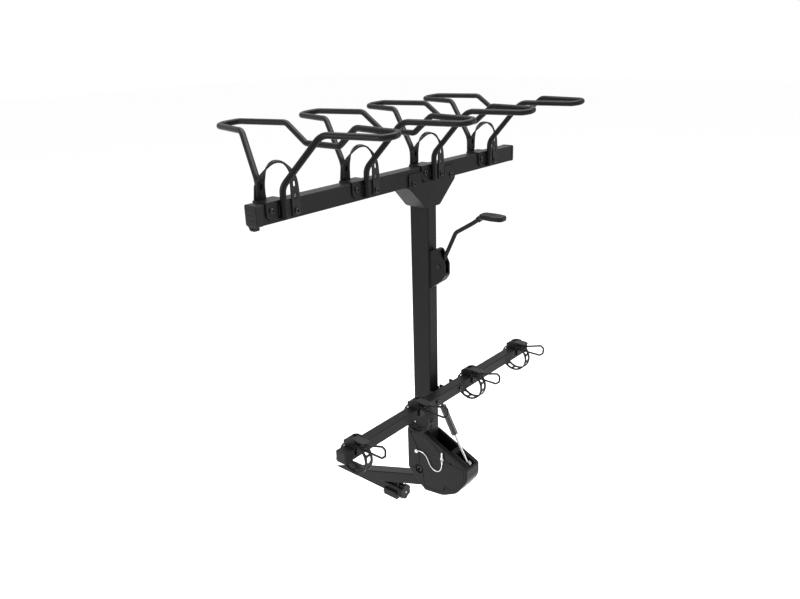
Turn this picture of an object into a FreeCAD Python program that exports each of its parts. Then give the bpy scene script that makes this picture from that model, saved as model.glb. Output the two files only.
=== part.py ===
"""Four-bike rack for a receiver hitch: front wheels hang in wire cradles, the mast tilts rearward.

Frame, in millimetres: the origin is on the receiver shank's centreline, where the snap pin crosses it.
+Y points into the vehicle's receiver, +Z is up and +X is the far side of the mast.
"""
import FreeCAD, Part
import os
import Sketcher
from math import atan2, cos, degrees, hypot, pi, radians, sin, tan

V = FreeCAD.Vector
X, Y, Z = V(1, 0, 0), V(0, 1, 0), V(0, 0, 1)

doc = FreeCAD.newDocument("hitch_bike_rack")

# ---------------------------------------------------------------- driving dimensions

SIZES = [
    # receiver shank and the arm that carries the rack behind the bumper
    ("shank_width", 31.75, "square receiver shank, 1.25 inch class"),
    ("shank_wall", 4, "wall of the shank"),
    ("shank_tip", 67, "snap pin to the shank's tip, along its underside"),
    ("shank_tail", 249, "snap pin to the shank's outer end"),
    ("wedge_angle", 24.7, "slope of the wedge face in degrees"),
    ("wedge_gap", 0.4, "gap between the shank's slope and the wedge"),
    ("bolt_radius", 3, "draw bolt"),
    ("snap_radius", 6, "snap pin"),
    ("snap_shoulder", 6.4, "snap pin inside the shank"),
    ("snap_reach", 7, "how far the snap pin stands out of the shank"),
    ("knob_radius", 27, "tightening knob, over its lobes"),
    ("knob_depth", 19, "tightening knob along its axis"),
    ("arm_width", 46, "hitch arm across"),
    ("arm_height", 40, "hitch arm, square to its slope"),
    ("arm_wall", 3, "wall of the hitch arm"),
    ("arm_drop", 10.4, "shank centreline down to the arm's centreline at its low end"),
    ("arm_rise", 104.7, "shank centreline to the arm's centreline under the mast"),
    # the base that the mast pivots in
    ("mast_setback", 374, "snap pin to the mast's centre"),
    ("pivot_height", 154, "shank centreline to the mast pivot"),
    ("pivot_offset", 8, "pivot ahead of the mast's centre"),
    ("pivot_radius", 7, "mast pivot bolt"),
    ("plate_thickness", 6, "steel side plates of the base"),
    ("base_half_width", 36, "centre to the outer face of a base shell"),
    ("shell_wall", 3, "wall of the base shells"),
    # mast
    ("mast_width", 42, "mast across"),
    ("mast_depth", 70, "mast fore and aft"),
    ("mast_wall", 3, "wall of the mast"),
    ("mast_tail", 16, "mast below its pivot"),
    ("mast_top", 1135, "shank centreline to the top of the mast"),
    # upper beam
    ("beam_height", 50, "upper beam, upright"),
    ("beam_width", 40, "upper beam, fore and aft"),
    ("beam_wall", 2.5, "wall of the upper beam"),
    ("beam_lift", 7.5, "top of the mast to the upper beam's underside"),
    ("beam_left", 640, "mast centre to the beam's -X end"),
    ("beam_right", 438, "mast centre to the beam's +X end"),
    ("cap_thickness", 11, "plastic cap beyond the beam's +X end"),
    ("hook_cap", 20, "plastic cap beyond the beam's -X end"),
    # wheel cradles
    ("bike_pitch", 289.5, "wheel to wheel spacing"),
    ("first_wheel", 517, "mast centre to the plane of the first wheel"),
    ("hoop_radius", 8, "radius of the cradle tube"),
    ("hoop_rise", 200.5, "beam's underside to the near rail of a cradle"),
    ("hoop_reach", 296, "beam's centreline to the end of a cradle, fore and aft"),
    ("hoop_width", 112, "across a cradle at its widest"),
    ("hoop_offset", 41, "cradle's middle beyond its saddle plane"),
    ("saddle_thickness", 4, "folded saddle plates"),
    ("strap_width", 26, "rubber straps across"),
    ("strap_thickness", 4, "rubber straps"),
    # lower bar and its wheel clamps
    ("bar_size", 35, "square lower bar"),
    ("bar_wall", 2, "wall of the lower bar"),
    ("bar_half_length", 476, "centre to the end of the lower bar"),
    ("bar_height", 456, "shank centreline to the lower bar's centreline"),
    ("bar_gap", 26, "mast to the lower bar"),
    ("clamp_pitch", 282, "wheel clamp spacing on the lower bar"),
    ("ring_radius", 48, "middle of the perforated strap ring"),
    ("stay_radius", 3.2, "wire of the wheel stays"),
    # tilt strut
    ("strut_radius", 11, "strut cylinder"),
    ("strut_share", 0.53, "share of the strut's length that is cylinder"),
    ("strut_drop", 34, "lower bar's centreline down to the strut's upper pivot"),
    ("rod_radius", 4, "strut rod"),
    ("tilt_angle", 25, "rearward tilt of the mast in degrees"),
    # release lever
    ("lever_radius", 6.4, "release lever tube"),
    ("bracket_half", 15, "centre to the outer face of the lever bracket"),
    # cable that hangs on the base
    ("lanyard_radius", 1.6, "steel cable with its clear sleeve"),
    # fasteners and fits
    ("bolt_m8", 4, "radius of the structural bolts"),
    ("hole_play", 0.25, "play of a bolt in its hole"),
    ("running_fit", 0.05, "radial play of a pin that turns"),
    ("face_gap", 0.3, "gap between faces that move past each other"),
]

sheet = doc.addObject("Spreadsheet::Sheet", "Sizes")
for row, (alias, number, meaning) in enumerate(SIZES, start=1):
    sheet.set(f"A{row}", meaning)
    sheet.set(f"B{row}", str(number))
    sheet.setAlias(f"B{row}", alias)
doc.recompute()


class Dim:
    """A size that carries both its number and the expression that gives it from the sheet."""

    def __init__(self, text, number):
        self.text, self.number = text, float(number)

    def __float__(self):
        return self.number

    def _join(self, other, sign, swap=False):
        other = other if isinstance(other, Dim) else Dim(repr(float(other)), other)
        left, right = (other, self) if swap else (self, other)
        number = {"+": left.number + right.number, "-": left.number - right.number,
                  "*": left.number * right.number}[sign]
        return Dim(f"({left.text} {sign} {right.text})", number)

    def __add__(self, other):
        return self._join(other, "+")

    def __radd__(self, other):
        return self._join(other, "+", True)

    def __sub__(self, other):
        return self._join(other, "-")

    def __rsub__(self, other):
        return self._join(other, "-", True)

    def __mul__(self, other):
        return self._join(other, "*")

    def __rmul__(self, other):
        return self._join(other, "*", True)

    def __truediv__(self, divisor):
        return Dim(f"({self.text} / {float(divisor)!r})", self.number / divisor)

    def __neg__(self):
        return Dim(f"(0 - {self.text})", -self.number)


class Sizes:
    """Every alias of the sheet as an attribute."""


v = Sizes()
for alias, _, _ in SIZES:
    setattr(v, alias, Dim(f"Sizes.{alias}", sheet.get(alias)))

# ---------------------------------------------------------------- helpers


def bind(thing, prop, size):
    """Set a property from a plain number, or tie it to the sheet."""
    if isinstance(size, Dim):
        thing.setExpression(prop, size.text)
    else:
        thing.setExpression(prop, repr(float(size)))


def feature(label, shape):
    """A sub-part whose outline or path no primitive gives."""
    part = doc.addObject("Part::Feature", label)
    part.Label = label
    part.Shape = shape.removeSplitter() if shape.ShapeType != "Compound" else shape
    part.Placement = FreeCAD.Placement()
    return part


def group(label, shapes):
    """Separate solids that share one node."""
    return feature(label, Part.makeCompound(shapes))


def new_body(label):
    body = doc.addObject("PartDesign::Body", label)
    body.Label = label
    return body


def new_sketch(body, role, name, offset=None):
    sketch = body.newObject("Sketcher::SketchObject", name)
    origin_plane = next(item for item in body.Origin.OriginFeatures if item.Role == role)
    sketch.AttachmentSupport = [(origin_plane, "")]
    sketch.MapMode = "FlatFace"
    if offset is not None:
        bind(sketch, "AttachmentOffset.Base.z", offset)
    return sketch


def add_outline(sketch, corners):
    """A closed outline whose corners are tied to the sheet."""
    first = sketch.GeometryCount
    spots = [V(float(a), float(b), 0) for a, b in corners]
    count = len(corners)
    for i in range(count):
        sketch.addGeometry(Part.LineSegment(spots[i], spots[(i + 1) % count]), False)
    for i in range(count):
        here, after = first + i, first + (i + 1) % count
        sketch.addConstraint(Sketcher.Constraint("Coincident", here, 2, after, 1))
    for i, corner in enumerate(corners):
        for kind, size in zip(("DistanceX", "DistanceY"), corner):
            rule = Sketcher.Constraint(kind, -1, 1, first + i, 1, float(size))
            number = sketch.addConstraint(rule)
            if isinstance(size, Dim):
                sketch.setExpression(f"Constraints[{number}]", size.text)


def add_rectangle(sketch, low, high):
    add_outline(sketch, [low, (high[0], low[1]), high, (low[0], high[1])])


def add_circle(sketch, centre, radius):
    spot = V(float(centre[0]), float(centre[1]), 0)
    ring = sketch.addGeometry(Part.Circle(spot, Z, float(radius)), False)
    rules = [("DistanceX", (-1, 1, ring, 3), centre[0]), ("DistanceY", (-1, 1, ring, 3), centre[1]),
             ("Radius", (ring,), radius)]
    for kind, where, size in rules:
        number = sketch.addConstraint(Sketcher.Constraint(kind, *where, float(size)))
        if isinstance(size, Dim):
            sketch.setExpression(f"Constraints[{number}]", size.text)


def pad(body, sketch, length, reverse=False):
    step = body.newObject("PartDesign::Pad", f"{sketch.Name}_pad")
    step.Profile = sketch
    bind(step, "Length", length)
    step.Reversed = reverse
    sketch.Visibility = False
    body.Tip = step
    return step


def pocket_through(body, sketch):
    """Holes right through the body, both ways from the sketch's plane."""
    step = body.newObject("PartDesign::Pocket", f"{sketch.Name}_pocket")
    step.Profile = sketch
    step.SideType = "Symmetric"
    step.Type = "ThroughAll"
    body.Tip = step
    return step


def straight_edges(shape, direction, shortest=0.0):
    """Names of the straight edges that lie along a direction."""
    names = []
    for number, edge in enumerate(shape.Edges, start=1):
        if edge.Curve.TypeId != "Part::GeomLine" or edge.Length < shortest:
            continue
        if abs(edge.tangentAt(edge.FirstParameter).dot(direction)) > 0.999:
            names.append(f"Edge{number}")
    return names


def round_edges(body, direction, radius, shortest):
    doc.recompute()
    bare = body.Tip
    names = straight_edges(bare.Shape, direction, shortest)
    step = body.newObject("PartDesign::Fillet", f"{body.Name}_fillet")
    step.Base = (bare, names)
    bind(step, "Radius", radius)
    body.Tip = step
    return step


def rounded_wire(corners):
    """A closed wire through (point, radius) corners, with a tangent arc at each rounded corner."""
    count = len(corners)
    edges, last = [], None
    arcs = []
    for i, (spot, radius) in enumerate(corners):
        before, after = corners[i - 1][0], corners[(i + 1) % count][0]
        to_before, to_after = (before - spot).normalize(), (after - spot).normalize()
        if radius <= 0:
            arcs.append((spot, None, spot))
            continue
        half = to_before.getAngle(to_after) / 2
        back = radius / tan(half)
        middle_way = (to_before + to_after).normalize()
        middle = spot + middle_way * (radius / sin(half) - radius)
        arcs.append((spot + to_before * back, middle, spot + to_after * back))
    for i in range(count):
        start, middle, end = arcs[i]
        if middle is not None:
            edges.append(Part.Arc(start, middle, end).toShape())
        following = arcs[(i + 1) % count][0]
        if (following - end).Length > 1e-6:
            edges.append(Part.LineSegment(end, following).toShape())
    return Part.Wire(edges)


def slab_x(corners, start, end):
    """An outline in Y and Z, drawn out along X. Corners are (y, z, radius)."""
    wire = rounded_wire([(V(float(start), float(a), float(b)), r) for a, b, r in corners])
    return Part.Face(wire).extrude(X * (float(end) - float(start)))


def slab_y(corners, start, end):
    """An outline in X and Z, drawn out along Y. Corners are (x, z, radius)."""
    wire = rounded_wire([(V(float(a), float(start), float(b)), r) for a, b, r in corners])
    return Part.Face(wire).extrude(Y * (float(end) - float(start)))


def slab_z(corners, start, end):
    """An outline in X and Y, drawn up along Z. Corners are (x, y, radius)."""
    wire = rounded_wire([(V(float(a), float(b), float(start)), r) for a, b, r in corners])
    return Part.Face(wire).extrude(Z * (float(end) - float(start)))


def cylinder(radius, start, end):
    way = end - start
    return Part.makeCylinder(float(radius), way.Length, start, way)


def block(low, high):
    low, high = V(*map(float, low)), V(*map(float, high))
    size = high - low
    return Part.makeBox(size.x, size.y, size.z, low)


def path_wire(points, bend_radii):
    """An open path of straight runs joined by tangent arcs; one radius for each inner point."""
    edges, start = [], points[0]
    for i in range(1, len(points) - 1):
        spot = points[i]
        to_before, to_after = (points[i - 1] - spot).normalize(), (points[i + 1] - spot).normalize()
        half = to_before.getAngle(to_after) / 2
        radius = bend_radii[i - 1]
        back = radius / tan(half)
        middle = spot + (to_before + to_after).normalize() * (radius / sin(half) - radius)
        enter, leave = spot + to_before * back, spot + to_after * back
        if (enter - start).Length > 1e-6:
            edges.append(Part.LineSegment(start, enter).toShape())
        edges.append(Part.Arc(enter, middle, leave).toShape())
        start = leave
    edges.append(Part.LineSegment(start, points[-1]).toShape())
    return Part.Wire(edges)


def eased_radii(points):
    """A bend radius for every inner point that uses up most of its shorter run."""
    radii = []
    for before, here, after in zip(points, points[1:], points[2:]):
        turn = (here - before).getAngle(after - here)
        shorter = min((here - before).Length, (after - here).Length)
        radii.append(0.45 * shorter / tan(max(turn, 0.02) / 2))
    return radii


def bent_tube(points, bend_radii, radius):
    """A round bar swept along a bent path."""
    wire = path_wire(points, bend_radii)
    way = (points[1] - points[0]).normalize()
    section = Part.Wire([Part.makeCircle(float(radius), points[0], way)])
    tube = wire.makePipeShell([section], True, False, 2)
    expected = pi * float(radius) ** 2 * wire.Length
    if abs(tube.Volume / expected - 1) > 0.01:
        raise ValueError(f"swept tube holds {tube.Volume:.0f} mm3, {expected:.0f} expected")
    return tube


def button_head(centre, way, radius, height):
    """A low domed bolt head that stands on centre and points along way."""
    dome = Part.makeCylinder(radius, height, centre, way)
    rim = [edge for edge in dome.Edges if edge.Curve.TypeId == "Part::GeomCircle"
           and (edge.CenterOfMass - centre).dot(way) > height / 2]
    dome = dome.makeFillet(height * 0.6, rim)
    socket = Part.makeCylinder(radius * 0.42, height, centre + way * (height * 0.45), way)
    return dome.cut(socket)


def hex_nut(centre, way, across, height):
    """A nut that stands on centre and points along way."""
    side = way.cross(X) if abs(way.dot(X)) < 0.9 else way.cross(Z)
    side.normalize()
    ring = [centre + FreeCAD.Rotation(way, 60 * i).multVec(side) * (across / 2 / cos(pi / 6))
            for i in range(6)]
    return Part.Face(Part.makePolygon(ring + ring[:1])).extrude(way * height)


def through_bolt(head, tail, radius):
    """A button-head bolt from the face under its head to the face under its nut."""
    way = (tail - head).normalize()
    shank = cylinder(radius, head, tail + way * 5)
    return shank.fuse([button_head(head, -way, radius * 2, radius * 1.1),
                       hex_nut(tail, way, radius * 3.2, 4).cut(cylinder(radius * 0.5, tail, tail + way * 4))])


# ---------------------------------------------------------------- shared places

v.beam_base = v.mast_top + v.beam_lift
mast_y = -v.mast_setback
mast_front = mast_y + v.mast_depth / 2
mast_rear = mast_y - v.mast_depth / 2
beam_rear = mast_rear
beam_front = mast_rear + v.beam_width
beam_top = v.beam_base + v.beam_height
bar_front = mast_rear - v.bar_gap
bar_rear = bar_front - v.bar_size
bar_low = v.bar_height - v.bar_size / 2
bar_high = v.bar_height + v.bar_size / 2
plate_inner = v.arm_width / 2 + 0.02
plate_outer = plate_inner + v.plate_thickness
bolt_hole = v.bolt_m8 + v.hole_play

pivot = V(0, float(mast_y + v.pivot_offset), float(v.pivot_height))
strut_top = V(0, float(mast_rear) - 25, float(v.bar_height) - float(v.strut_drop))
strut_foot = V(0, float(mast_y) - 170, 224)
strut_way = (strut_foot - strut_top).normalize()
strut_length = (strut_foot - strut_top).Length * float(v.strut_share)

wheel_planes = [-v.first_wheel + v.bike_pitch * i for i in range(4)]
clamp_planes = [v.clamp_pitch * (i - 1.5) - 7 for i in range(4)]

# ---------------------------------------------------------------- receiver shank and arm


def make_receiver_shank():
    """Square tube whose tip is cut to the slope that the wedge climbs."""
    half = v.shank_width / 2
    bore = half - v.shank_wall
    run = float(v.shank_width) / tan(radians(float(v.wedge_angle)))
    body = new_body("receiver_shank")
    section = new_sketch(body, "XZ_Plane", "shank_section", v.shank_tail)
    add_rectangle(section, (-half, -half), (half, half))
    add_rectangle(section, (-bore, -bore), (bore, bore))
    pad(body, section, v.shank_tail + v.shank_tip, True)
    slope = new_sketch(body, "YZ_Plane", "shank_slope")
    add_outline(slope, [(v.shank_tip, -half), (v.shank_tip + 5, half + 1), (v.shank_tip - run, half + 1),
                        (v.shank_tip - run, half)])
    pocket_through(body, slope)
    holes = new_sketch(body, "YZ_Plane", "snap_pin_hole")
    add_circle(holes, (0, 0), v.snap_shoulder + v.running_fit)
    step = body.newObject("PartDesign::Pocket", "snap_pin_pocket")
    step.Profile = holes
    step.Type = "ThroughAll"
    step.Reversed = True
    body.Tip = step
    return body


ARM_LOW_END = -30.0
arm_low = V(0, ARM_LOW_END, -float(v.arm_drop))
arm_way = (V(0, float(mast_y), float(v.arm_rise)) - arm_low).normalize()


def arm_underside(y):
    """Height of the arm's lower face at a distance from the snap pin."""
    return arm_low.z + (ARM_LOW_END - y) * arm_way.z / -arm_way.y - float(v.arm_height) / 2 / -arm_way.y


def make_hitch_arm():
    """Tube that lies on the shank at its low end and rises into the base at its high end."""
    height, wall = float(v.arm_height), float(v.arm_wall)
    half = float(v.arm_width) / 2
    length = (V(0, float(mast_y), float(v.arm_rise)) - arm_low).Length
    up = V(0, arm_way.z, -arm_way.y)

    def tube(half_width, half_height):
        corners = [arm_low + arm_way * s + up * t for s, t in
                   ((-60, -half_height), (length + 60, -half_height), (length + 60, half_height),
                    (-60, half_height))]
        shape = Part.Face(Part.makePolygon(corners + corners[:1])).extrude(X * (2 * half_width))
        return shape.translated(V(-half_width, 0, 0))

    outer = tube(half, height / 2)
    long_edges = [e for e in outer.Edges if e.Length > length]
    shape = outer.makeFillet(4, long_edges).cut(tube(half - wall, height / 2 - wall))
    keep = block((-half, mast_y, float(v.shank_width) / 2 + 0.02), (half, ARM_LOW_END, 300))
    return feature("hitch_arm", shape.common(keep))


def make_shank_end_web():
    """Upright gusset between the shank's outer end and the arm's underside."""
    half = float(v.shank_width) / 2
    rear = -float(v.shank_tail)
    low = half + 0.02
    corners = [(rear, low, 0), (rear + 5, low, 0), (rear + 5, arm_underside(rear + 5) - 0.05, 0),
               (rear, arm_underside(rear) - 0.05, 0)]
    cap = block((-half + 0.2, rear - 3, -half + 0.2), (half - 0.2, rear - 0.02, half - 0.2))
    cap = cap.cut(cylinder(v.bolt_radius + v.hole_play, V(0, rear - 4, 0), V(0, rear + 1, 0)))
    return group("shank_end_plates", [slab_x(corners, -12, 12), cap])


# ---------------------------------------------------------------- wedge, draw bolt, knob, snap pin


def make_wedge():
    """Sliding wedge that climbs the cut tip and jams the shank in the receiver."""
    half = float(v.shank_width) / 2
    slope = radians(float(v.wedge_angle))
    run = 2 * half / tan(slope)
    gap = float(v.wedge_gap) / sin(slope)
    tip = float(v.shank_tip)
    end = tip + 9
    corners = [(tip + gap, -half + 0.4, 0), (end, -half + 0.4, 1), (end, half - 0.4, 1),
               (tip - run + gap + 1, half - 0.4, 0)]
    shape = slab_x(corners, -half + 0.4, half - 0.4)
    radius = float(v.bolt_radius) + 0.4
    slot = slab_y([(-radius, -3 - radius, radius * 0.98), (radius, -3 - radius, radius * 0.98),
                   (radius, radius, radius * 0.98), (-radius, radius, radius * 0.98)], 0, end + 1)
    return feature("anti_wobble_wedge", shape.cut(slot))


def make_draw_bolt():
    """Long bolt inside the shank; its head bears on the wedge's end."""
    tip = float(v.shank_tip) + 9
    rear = -float(v.shank_tail) - 3 - float(v.knob_depth)
    bolt = cylinder(v.bolt_radius, V(0, rear - 2, 0), V(0, tip + 1, 0))
    head = hex_nut(V(0, tip + 0.3, 0), Y, 12, 5)
    return feature("draw_bolt", bolt.fuse(head))


def make_knob():
    """Hand knob with finger lobes, threaded on the draw bolt."""
    body = new_body("tightening_knob")
    rear = v.shank_tail + 3.5
    disc = new_sketch(body, "XZ_Plane", "knob_disc", rear)
    add_circle(disc, (0, 0), v.knob_radius)
    add_circle(disc, (0, 0), v.bolt_radius + v.running_fit)
    pad(body, disc, v.knob_depth)
    lobe = new_sketch(body, "XZ_Plane", "knob_flute", rear)
    add_circle(lobe, (v.knob_radius + 5, 0), 9)
    flute = pocket_through(body, lobe)
    body.Tip = flute
    doc.recompute()
    ring = body.newObject("PartDesign::PolarPattern", "knob_flutes")
    ring.Originals = [flute]
    ring.Axis = (lobe, ["N_Axis"])
    ring.Angle = 360
    ring.Occurrences = 6
    body.Tip = ring
    return body


lock_height = -float(v.shank_width) / 2 - 8.3


def make_knob_housing():
    """Plastic collar under the shank that guards the knob and holds the key lock."""
    half = float(v.shank_width) / 2
    side, low, high = half + 9, -half - 16, -3.0
    rear, front = -float(v.shank_tail) + 3, -float(v.shank_tail) + 62
    outline = [(-side, low, 6), (side, low, 6), (side, high, 3), (-side, high, 3)]
    shape = slab_y(outline, rear, front)
    shape = shape.cut(block((-half - 0.3, rear - 1, -half - 0.3), (half + 0.3, front + 1, 10)))
    barrel = cylinder(6.6, V(-17, front - 20, lock_height), V(-17, front + 1, lock_height))
    return feature("knob_housing", shape.cut(barrel))


def make_lock_barrel():
    """Key lock that stands out of the collar's vehicle end."""
    front = -float(v.shank_tail) + 62
    shape = cylinder(6.5, V(-17, front - 19, lock_height), V(-17, front + 9, lock_height))
    rim = [e for e in shape.Edges if e.Curve.TypeId == "Part::GeomCircle" and e.CenterOfMass.y > front]
    slot = block((-17.8, front + 5, lock_height - 3.2), (-16.2, front + 10, lock_height + 3.2))
    return feature("lock_barrel", shape.makeFillet(1, rim).cut(slot))


def make_snap_pin():
    """Spring pin that drops into the receiver's hole; the draw bolt runs through its slot."""
    inner, outer = -4.6, float(v.shank_width) / 2 + float(v.snap_reach)
    face = float(v.shank_width) / 2
    pin = cylinder(v.snap_shoulder, V(inner, 0, 0), V(face, 0, 0))
    pin = pin.fuse(cylinder(v.snap_radius, V(face - 1, 0, 0), V(outer, 0, 0)))
    tip = [e for e in pin.Edges if e.Curve.TypeId == "Part::GeomCircle" and e.CenterOfMass.x > outer - 0.1]
    pin = pin.makeChamfer(1.5, tip)
    half = float(v.bolt_radius) + 0.4
    return feature("snap_pin", pin.cut(block((-half, -7, -half), (half + 7, 7, half))))


# ---------------------------------------------------------------- base


BASE_OUTLINE = [(57, 302, 6), (-18, 302, 120), (-190, 226, 14), (-190, 178, 50), (-148, 118, 70),
                (-92, 88, 80), (-16, 78, 8), (-3, 88, 6), (57, 145, 6)]


def base_outline(inset=0.0, lift=0.0):
    """The base's side view, drawn in by an inset on every side and lifted along its top."""
    y = float(mast_y)
    points = [V(a, b, 0) for a, b, _ in BASE_OUTLINE]
    middle = V(-70, 190, 0)
    corners = []
    for i, (a, b, radius) in enumerate(BASE_OUTLINE):
        here, before, after = points[i], points[i - 1], points[(i + 1) % len(points)]
        normals = []
        for edge in (here - before, after - here):
            normal = V(-edge.y, edge.x, 0).normalize()
            normals.append(normal if normal.dot(middle - here) > 0 else -normal)
        bisector = (normals[0] + normals[1]).normalize()
        moved = here + bisector * (inset / bisector.dot(normals[0]))
        rise = lift if i < 3 else 0
        corners.append((y + moved.x, moved.y + rise, max(radius - inset, 2)))
    return corners


def make_side_plates():
    """The two steel plates that carry the mast pivot and the strut's foot."""
    y = float(mast_y)
    shapes = []
    for side in (-1, 1):
        start, end = side * float(plate_inner), side * float(plate_outer)
        plate = slab_x(base_outline(4, 7), min(start, end), max(start, end))
        for spot, radius in ((pivot, v.pivot_radius), (strut_foot, v.rod_radius)):
            hole = cylinder(radius + v.hole_play, V(-60, spot.y, spot.z), V(60, spot.y, spot.z))
            plate = plate.cut(hole)
        plate = plate.cut(latch_window())
        shapes.append(plate)
    return group("base_side_plates", shapes)


def latch_window():
    """Curved window that the latch bar sweeps through as the mast tilts."""
    inner, outer = LATCH_REACH - 7, LATCH_REACH + 20
    sweep = float(v.tilt_angle) + 14
    ring = Part.makeCylinder(outer, 120, V(-60, pivot.y, pivot.z), X, sweep)
    core = Part.makeCylinder(inner, 121, V(-60.5, pivot.y, pivot.z), X)
    window = ring.cut(core).Solids[0]
    probe = window.CenterOfMass - pivot
    now = degrees(atan2(-probe.y, probe.z))
    window.rotate(pivot, X, float(v.tilt_angle) / 2 - now)
    return window


LATCH_REACH = 96.0


def make_base_shell(side):
    """Moulded half shell; side is -1 or 1 along X."""
    outer_x = side * float(v.base_half_width)
    wall = float(v.shell_wall)
    seam = side * 0.15
    y = float(mast_y)
    low, high = min(outer_x, seam), max(outer_x, seam)
    shape = slab_x(base_outline(), low, high)
    face_edges = [e for e in shape.Edges if abs(e.CenterOfMass.x - outer_x) < 0.01
                  and not (e.CenterOfMass.z < 140 and e.CenterOfMass.y > y - 20)]
    shape = shape.makeFillet(4, face_edges)
    inner_x = side * (float(v.base_half_width) - wall)
    cavity = slab_x(base_outline(wall), min(inner_x, -seam), max(inner_x, -seam))
    mouth_x = side * (float(plate_outer) + float(v.face_gap))
    mouth = slab_x([(y + 54, 330, 0), (y - 186, 330, 0), (y - 186, 196, 0), (y + 54, 240, 0)],
                   min(mouth_x, -seam), max(mouth_x, -seam))
    shape = shape.cut(cavity).cut(mouth)
    half = float(v.arm_width) / 2 + 0.6
    entry = block((-half, y - 30, 60), (half, y + 67, 145.5))
    shape = shape.cut(entry)
    recess = cylinder(17, V(-60, pivot.y, pivot.z), V(60, pivot.y, pivot.z))
    shape = shape.cut(recess)
    for spot_y, spot_z in SHELL_SCREWS:
        start = V(side * 20, y + spot_y, spot_z)
        shape = shape.cut(cylinder(3.4, start, start + X * side * 30))
    for spot_y, spot_z in LANYARD_POSTS:
        if side < 0:
            start = V(-20, y + spot_y, spot_z)
            shape = shape.cut(cylinder(1.7, start, start - X * 30))
    label = "base_shell_left" if side < 0 else "base_shell_right"
    return feature(label, shape)


SHELL_SCREWS = [(-126, 226), (-100, 118), (38, 288)]
LANYARD_POSTS = [(16, 223), (-93, 252)]


def make_shell_screws():
    """Screws that hold the shells to the side plates, sunk in their holes."""
    shapes = []
    for side in (-1, 1):
        for spot_y, spot_z in SHELL_SCREWS:
            start = V(side * (float(plate_outer) + 0.02), float(mast_y) + spot_y, spot_z)
            shapes.append(button_head(start, X * side, 3.2, 5))
    return group("shell_screws", shapes)


def make_rear_cover():
    """Moulded bridge between the side plates, slotted for the strut."""
    y = float(mast_y)
    half = float(plate_inner) - 0.3
    top = [(y - 112, 258, 2), (y - 118, 264, 2), (y - 184, 233, 3), (y - 184, 226, 2), (y - 124, 250, 0)]
    shape = slab_x(top, -half, half)
    slot = block((-15, y - 187, 200), (15, y - 131, 300))
    return feature("rear_cover", shape.cut(slot))


def make_pivot_bolt():
    """Shouldered bolt that the mast turns on, with its head and nut outside the side plates."""
    reach = float(plate_outer) + 0.02
    bolt = cylinder(v.pivot_radius, V(-reach, pivot.y, pivot.z), V(reach, pivot.y, pivot.z))
    head = button_head(V(-reach, pivot.y, pivot.z), -X, 12, 6.5)
    nut = hex_nut(V(reach, pivot.y, pivot.z), X, 22, 7)
    return feature("mast_pivot_bolt", bolt.fuse([head, nut]))


def make_strut_foot_pin():
    reach = float(plate_outer) + 0.02
    pin = cylinder(v.rod_radius, V(-reach, strut_foot.y, strut_foot.z), V(reach, strut_foot.y, strut_foot.z))
    heads = [cylinder(6.5, V(side * reach, strut_foot.y, strut_foot.z),
                      V(side * (reach + 2.5), strut_foot.y, strut_foot.z)) for side in (-1, 1)]
    return feature("strut_foot_pin", pin.fuse(heads))


# ---------------------------------------------------------------- cable on the base

LANYARD_X = -39.6
LANYARD_ROUTE = [(9.0, 226.5), (0.5, 228.6), (-9.5, 228.2), (-20.0, 224.6), (-29.0, 216.6), (-34.6, 205.4),
                 (-40.2, 193.6), (-49.4, 183.2), (-61.4, 177.2), (-74.6, 177.8), (-85.4, 186.4),
                 (-91.2, 199.6), (-93.0, 213.0)]


def make_lanyard():
    """Thin steel cable from its ring, down in a slack bight and up to its crimped eye."""
    points = [V(LANYARD_X, float(mast_y) + a, b) for a, b in LANYARD_ROUTE]
    radii = eased_radii(points)
    print("lanyard bend radii, mm:", [round(r, 1) for r in radii])
    wire = path_wire(points, radii)
    print("lanyard tube length, mm:", round(wire.Length, 1))
    return feature("lanyard_cable", bent_tube(points, radii, v.lanyard_radius))


def make_lanyard_ring():
    """Crimped hook at the cable's front end, held by a rivet in the shell."""
    (rivet_y, rivet_z), _ = LANYARD_POSTS
    y = float(mast_y)
    eye = Part.makeTorus(5.4, 1.3, V(LANYARD_X, y + rivet_y, rivet_z), X)
    start = V(LANYARD_X, y + LANYARD_ROUTE[0][0], LANYARD_ROUTE[0][1])
    way = (V(LANYARD_X, y + rivet_y, rivet_z) - start).normalize()
    crimp = cylinder(2.4, start, start + way * 3)
    return feature("lanyard_ring", eye.fuse(crimp))


def make_lanyard_clip():
    """Crimp, triangular eye and swivel barrel at the cable's rear end."""
    y = float(mast_y)
    end_y, end_z = LANYARD_ROUTE[-1]
    base = V(LANYARD_X, y + end_y, end_z)
    crimp = cylinder(2.6, base, base + Z * 9)
    corners = [base + V(0, 0, 8), base + V(0, -6, 20), base + V(0, 6, 20)]
    sides = [cylinder(1.2, a, b) for a, b in zip(corners, corners[1:] + corners[:1])]
    joints = [Part.makeSphere(1.2, spot) for spot in corners]
    barrel = cylinder(3.3, base + Z * 20.5, base + Z * 45)
    ends = [e for e in barrel.Edges if e.Curve.TypeId == "Part::GeomCircle"]
    neck = cylinder(2, base + Z * 18.5, base + Z * 22)
    return feature("lanyard_clip", crimp.fuse(sides + joints + [neck, barrel.makeFillet(2.4, ends)]))


def make_lanyard_rivets():
    """Rivets in the left shell that hold the cable's ring and clip."""
    y = float(mast_y)
    wall_x = -float(v.base_half_width)
    shapes = []
    for (spot_y, spot_z), reach in zip(LANYARD_POSTS, (5.1, None)):
        inner = V(wall_x + 3, y + spot_y, spot_z)
        if reach:
            outer = V(wall_x - reach, y + spot_y, spot_z)
            post = cylinder(1.6, inner, outer).fuse(cylinder(3.4, outer, outer + X * 4.55))
            cap = cylinder(4.6, outer, outer - X * 1.6)
            shapes.append(post.fuse(cap))
        else:
            shapes.append(cylinder(1.6, inner, V(LANYARD_X + 3.3 + 0.02, y + spot_y, spot_z)))
    return group("lanyard_rivets", shapes)


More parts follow.
